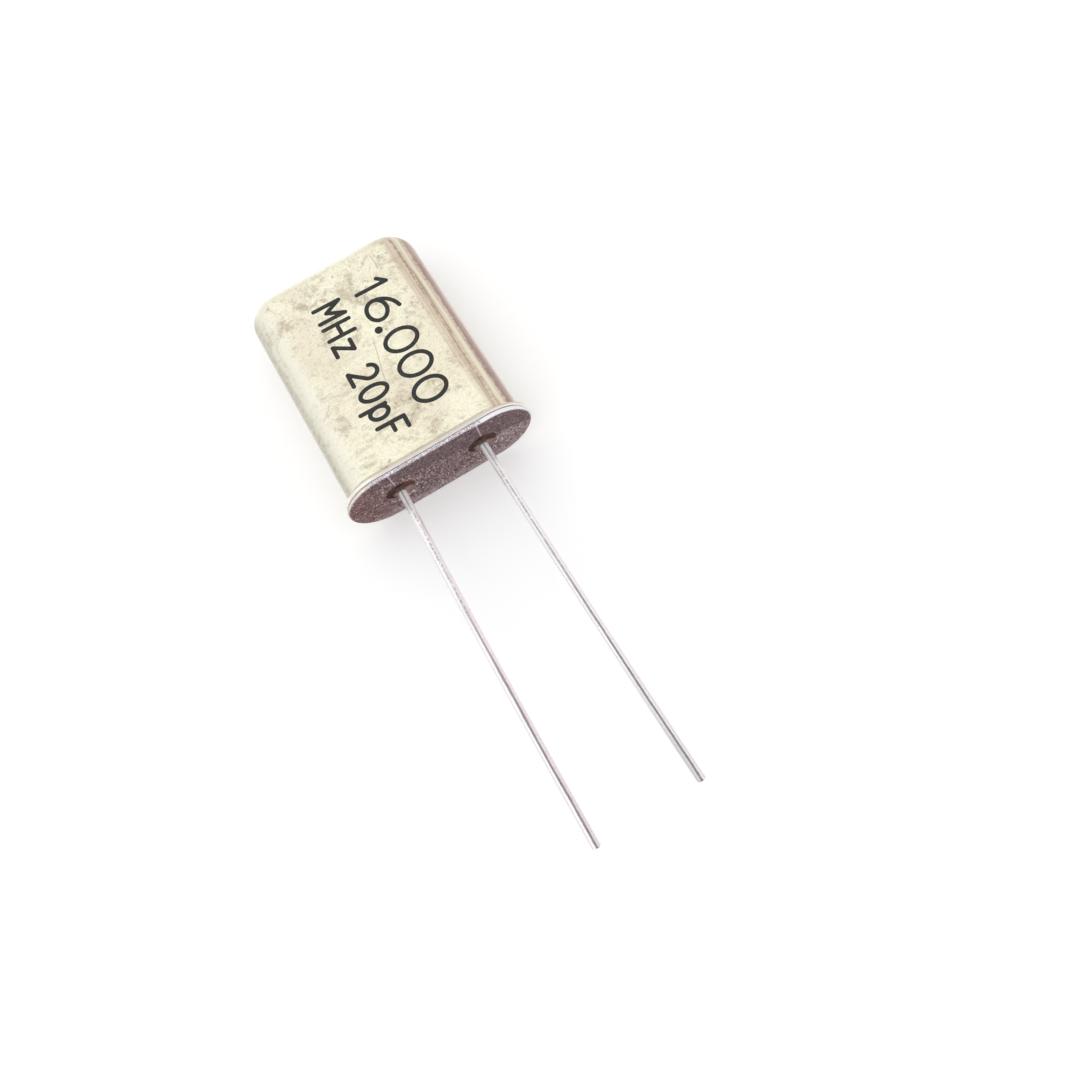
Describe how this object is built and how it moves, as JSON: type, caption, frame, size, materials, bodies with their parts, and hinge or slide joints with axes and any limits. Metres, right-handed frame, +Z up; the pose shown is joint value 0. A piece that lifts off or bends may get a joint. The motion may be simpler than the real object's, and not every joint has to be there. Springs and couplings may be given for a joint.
{
  "type": "quartz crystal unit",
  "caption": "Quartz crystal resonator in a drawn, round-ended metal can with a welded flange, glass-sealed wire leads and a silvered blank held between spring clips.",
  "frame": {"origin": "centre of the footprint of the unit lying on its back, on the lowest edge of its flange", "axes": "+X across the leads, +Y along the can to its crown with the leads toward -Y, +Z up out of the marked front face"},
  "size_m": [0.0108, 0.033, 0.0046],
  "materials": {
    "can_nickel": "dull champagne-coloured nickel plate with grey tarnish",
    "base_metal": "oxidised dark granular metal",
    "seal_glass": "dark brown sealing glass",
    "lead_tin": "bright tinned wire",
    "clip_nickel": "plain nickel spring strip",
    "quartz": "lapped clear quartz",
    "electrode_silver": "evaporated silver film",
    "silver_cement": "dull silver-filled cement"
  },
  "bodies": {
    "root": {"can": "can_nickel", "base_plate": "base_metal", "glass_seal_left": "seal_glass", "glass_seal_right": "seal_glass", "lead_left": "lead_tin", "lead_right": "lead_tin", "mount_clip_left": "clip_nickel", "mount_clip_right": "clip_nickel", "quartz_blank": "quartz", "electrode_front": "electrode_silver", "electrode_back": "electrode_silver", "cement_left": "silver_cement", "cement_right": "silver_cement"}
  },
  "joints": []
}
